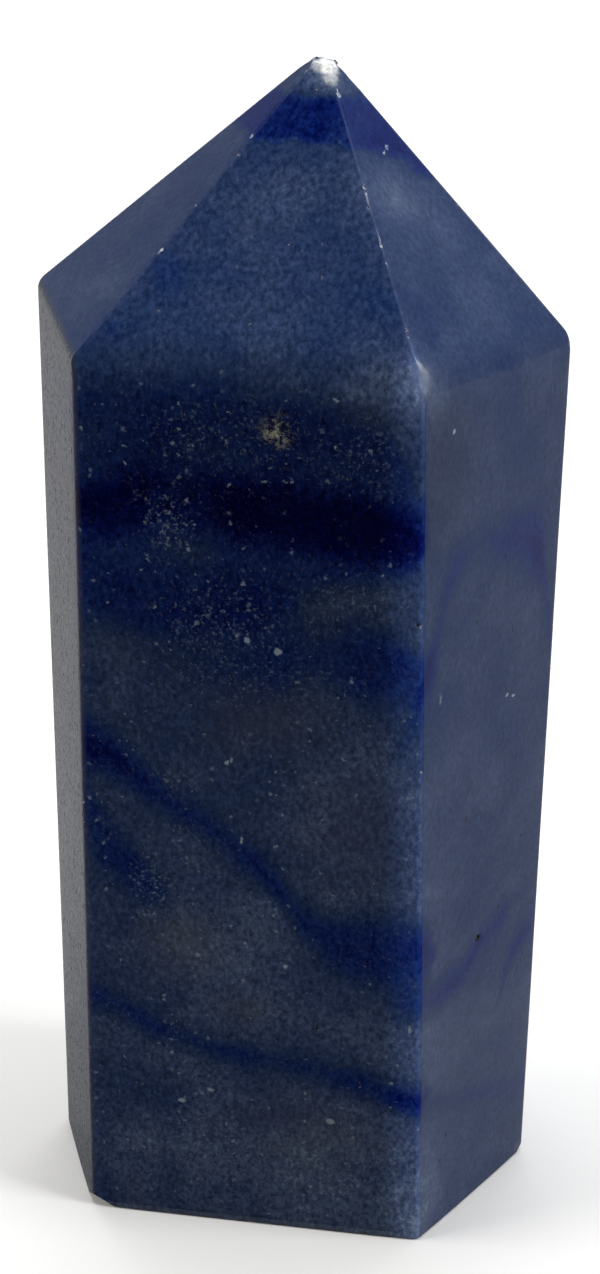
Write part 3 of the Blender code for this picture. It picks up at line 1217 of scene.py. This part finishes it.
@dataclass(frozen=True)
class CrushedQuartz:
    """Freshly broken quartz: the small flake scars scatter light, so that they look pale and matt."""

    pale: str = "#aab2bd"
    dark: str = "#4a5872"
    roughness: float = 0.55
    grain: float = 0.3  # mm

    def material(self) -> bpy.types.Material:
        """Makes the material.

        Returns:
            The material.
        """
        made = bpy.data.materials.new("dumortierite_quartz_broken")
        made.use_nodes = True
        tree = made.node_tree
        node = partial(add_node, tree)
        place = node("TexCoord").outputs["Object"]
        noise = node("TexNoise", {"Vector": place, "Scale": 1 / (self.grain * MM), "Detail": 3.0})
        share = node("MapRange", [noise, 0.4, 0.6])
        colour = node("Mix", {"Factor": share, "A": linear(self.dark), "B": linear(self.pale)}, data_type="RGBA")
        shader = tree.nodes["Principled BSDF"]
        shader.inputs["Roughness"].default_value = self.roughness
        tree.links.new(colour.outputs[2], shader.inputs["Base Color"])
        return made


# The studio


@dataclass(frozen=True)
class Softbox:
    """A square soft light that is aimed at the stone."""

    name: str
    size: float  # m
    place: tuple[float, float, float]  # m
    power: float  # W
    colour: str = "#ffffff"


@dataclass(frozen=True)
class Card:
    """A matt card that lies on the floor and is seen only in the polish."""

    name: str
    colour: str
    size: tuple[float, float]  # m
    middle: tuple[float, float, float]  # m
    turn: float = 0.0  # degrees


@dataclass
class Studio:
    """A pale floor, three soft lights, cards that calm the reflections, and the camera."""

    floor_size: float = 1.8  # m
    floor_colour: str = "#ececec"
    floor_shade: str = "#959595"  # as the stone sees it
    softboxes: tuple[Softbox, ...] = (
        Softbox("softbox_overhead", 0.9, (0.0, 0.25, 1.0), 10.4),
        Softbox("softbox_right", 0.5, (0.95, -0.25, 0.6), 11.0),
        Softbox("softbox_left", 0.6, (-1.0, -0.1, 0.6), 7.6, "#fffcf5"),
    )
    cards: tuple[Card, ...] = (
        Card("black_card", "#050505", (1.2, 0.9), (-0.0641, -0.4563, 0.0006), -8.0),
        Card("grey_card", "#858585", (0.6, 0.8), (0.34, 0.2, 0.0003), 0.0),
    )
    room: float = 0.22  # radiance of the room that the polish mirrors, at the sides and behind
    dark_way: tuple[float, float, float] = (-0.1, -0.95, 0.3)  # where the room is dark
    camera_from: tuple[float, float, float] = (0.18, -152.82, 132.75)  # mm
    camera_pitch: float = 29.255  # degrees below the level
    camera_roll: float = 0.622  # degrees
    focal_length: float = 67.77  # mm, on a 36 mm long side

    def matt(self, name: str, colour: str) -> bpy.types.Material:
        """Makes a plain matt paper.

        Args:
            name: The material's name.
            colour: Its colour, as sRGB hex.

        Returns:
            The material.
        """
        made = bpy.data.materials.new(name)
        made.use_nodes = True
        shader = made.node_tree.nodes["Principled BSDF"]
        shader.inputs["Base Color"].default_value = linear(colour)
        shader.inputs["Roughness"].default_value = 1.0
        shader.inputs["Specular IOR Level"].default_value = 0.0
        return made

    def paper(self) -> bpy.types.Material:
        """Makes the floor's paper: near white to the eye, and mid grey to the stone.

        Returns:
            The material.
        """
        made = self.matt("pale_matt_paper", self.floor_colour)
        node = partial(add_node, made.node_tree)
        seen = node("LightPath").outputs["Is Camera Ray"]
        colours = {"Factor": seen, "A": linear(self.floor_shade), "B": linear(self.floor_colour)}
        mixed = node("Mix", colours, data_type="RGBA")
        made.node_tree.links.new(mixed.outputs[2], made.node_tree.nodes["Principled BSDF"].inputs["Base Color"])
        return made

    def floor(self) -> None:
        """Lays the floor."""
        bpy.ops.object.select_all(action="DESELECT")
        bpy.ops.mesh.primitive_plane_add(size=self.floor_size, location=(0.0, 0.0, CAD_BOX[0].z))
        floor = bpy.context.object
        floor.name = "floor"
        floor.data.materials.append(self.paper())

    def lay_card(self, card: Card) -> None:
        """Lays a card that only the polish sees."""
        bpy.ops.object.select_all(action="DESELECT")
        bpy.ops.mesh.primitive_plane_add(size=1.0, location=card.middle)
        sheet = bpy.context.object
        sheet.name = card.name
        sheet.scale = (*card.size, 1.0)
        sheet.rotation_euler.z = math.radians(card.turn)
        sheet.data.materials.append(self.matt(card.name, card.colour))
        sheet.visible_camera = False
        sheet.visible_diffuse = False
        sheet.visible_transmission = False
        sheet.visible_shadow = False

    def softbox(self, box: Softbox) -> None:
        """Hangs a soft light."""
        data = bpy.data.lights.new(box.name, "AREA")
        data.shape = "SQUARE"
        data.size = box.size
        data.energy = box.power
        data.color = linear(box.colour)[:3]
        lamp = bpy.data.objects.new(box.name, data)
        lamp.location = box.place
        lamp.rotation_euler = (-Vector(box.place)).to_track_quat("-Z", "Y").to_euler()
        bpy.context.scene.collection.objects.link(lamp)

    def room_light(self) -> None:
        """Fills the room: white to the eye, lightless on matt surfaces, and dark in front of the polish."""
        world = bpy.data.worlds.new("room")
        world.use_nodes = True
        world.cycles.sampling_method = "NONE"
        tree = world.node_tree
        node = partial(add_node, tree)
        way = node("TexCoord").outputs["Generated"]
        ray = node("LightPath")
        ahead = node("VectorMath", [way, Vector(self.dark_way).normalized()], operation="DOT_PRODUCT")
        mirrored = node(
            "MapRange", [ahead.outputs["Value"], 0.25, 0.7, self.room, 0.0], interpolation_type="SMOOTHSTEP"
        )
        seen = node("Math", [ray.outputs["Is Glossy Ray"], mirrored], operation="MULTIPLY")
        shown = node("Math", [seen, ray.outputs["Is Camera Ray"]], operation="ADD")
        tree.links.new(shown.outputs[0], tree.nodes["Background"].inputs["Strength"])
        tree.nodes["Background"].inputs["Color"].default_value = (1.0, 1.0, 1.0, 1.0)
        bpy.context.scene.world = world

    def camera(self, move: Vector) -> None:
        """Sets the camera where the photograph was taken from.

        Args:
            move: How far the stone was moved from its design place, in metres.
        """
        data = bpy.data.cameras.new("camera")
        data.lens = self.focal_length
        data.sensor_width = 36.0
        data.clip_start = 0.005
        data.clip_end = 20.0
        camera = bpy.data.objects.new("camera", data)
        pitch = Matrix.Rotation(math.radians(90.0 - self.camera_pitch), 4, "X")
        roll = Matrix.Rotation(math.radians(self.camera_roll), 4, "Z")
        camera.matrix_world = Matrix.Translation(Vector(self.camera_from) * MM + move) @ pitch @ roll
        bpy.context.scene.collection.objects.link(camera)
        bpy.context.scene.camera = camera

    def build(self, move: Vector) -> None:
        """Builds the studio around the stone.

        Args:
            move: How far the stone was moved from its design place, in metres.
        """
        self.floor()
        for card in self.cards:
            self.lay_card(card)
        for box in self.softboxes:
            self.softbox(box)
        self.room_light()
        self.camera(move)
        settings = bpy.context.scene.view_settings
        settings.view_transform = "Standard"
        settings.look = "None"


def report(pieces: Iterable[bpy.types.Object]) -> None:
    """Logs each piece with its size and count of faces."""
    for piece in pieces:
        size = [round(side / MM, 1) for side in piece.dimensions]
        LOG.info("%s: %s mm, %d faces", piece.name, size, len(piece.data.polygons))


def main() -> None:
    """Builds the stone and the studio."""
    logging.basicConfig(level=logging.INFO, format="%(name)s: %(message)s")
    stone, move = Tower().build(PolishedDumortierite().material(), CrushedQuartz().material())
    LOG.info("moved by %s mm", [round(step / MM, 3) for step in move])
    Studio().build(move)
    report([stone])


if __name__ == "__main__":
    main()
